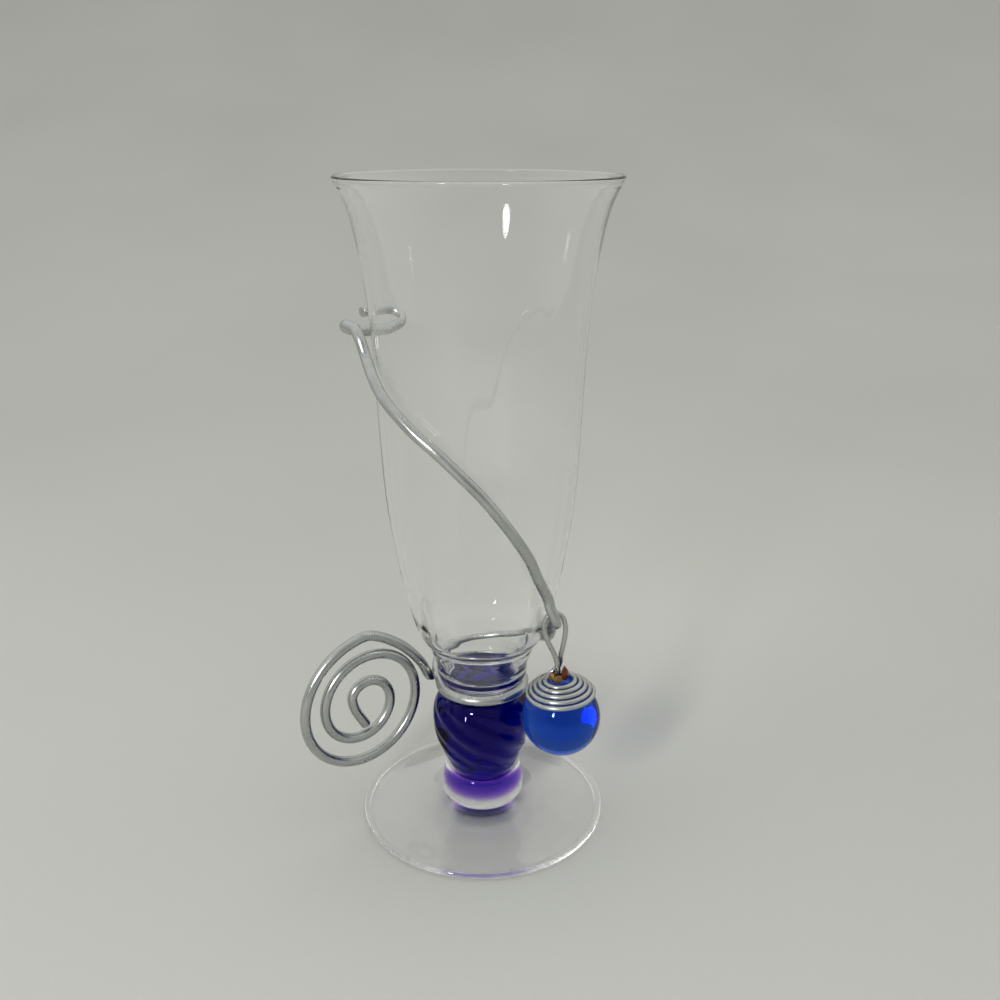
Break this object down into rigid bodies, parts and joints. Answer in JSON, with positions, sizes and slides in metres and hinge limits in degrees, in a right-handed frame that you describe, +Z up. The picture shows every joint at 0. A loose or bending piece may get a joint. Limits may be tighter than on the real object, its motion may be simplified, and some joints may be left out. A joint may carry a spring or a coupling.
{
  "type": "art glass vase",
  "caption": "Tall flared clear glass vase on a ribbed blue knop, wound with aluminium wire that ends in a flat spiral and carries a hanging blue glass ball.",
  "frame": {"origin": "centre of the foot's flat underside, on the surface that the vase stands on", "axes": "+Z up the vase's axis towards the rim, +X to the side where the glass ball hangs, -Y towards the side where the wire arm crosses the bowl"},
  "size_m": [0.1017, 0.0858, 0.2159],
  "materials": {
    "clear_glass": "fire polished, clear",
    "cobalt_glass": "fire polished, deep cobalt blue",
    "ball_glass": "polished, cobalt blue",
    "aluminium_wire": "satin, drawn wire",
    "amber_chip": "waxy, golden",
    "brown_chip": "waxy, red brown"
  },
  "bodies": {
    "glass": {"foot": "clear_glass", "lower_knop": "clear_glass", "swirl_knop": "cobalt_glass", "waist_knop": "clear_glass", "bowl": "clear_glass"},
    "wire": {"wire_wrap": "aluminium_wire"},
    "pendant": {"hanger_wire": "aluminium_wire", "pendant_ball": "ball_glass", "amber_chip_left": "amber_chip", "amber_chip_front": "amber_chip", "brown_chip": "brown_chip"}
  },
  "joints": [
    {"name": "wire_turn", "type": "hinge", "parent": "glass", "child": "wire", "pos_m": [0, 0, 0], "axis": [0, 0, 1], "continuous": true},
    {"name": "pendant_swing", "type": "hinge", "parent": "wire", "child": "pendant", "pos_m": [0.0238, -0.01593, 0.0798], "axis": [0, -1, 0], "range_deg": [-2.5, 75]}
  ]
}
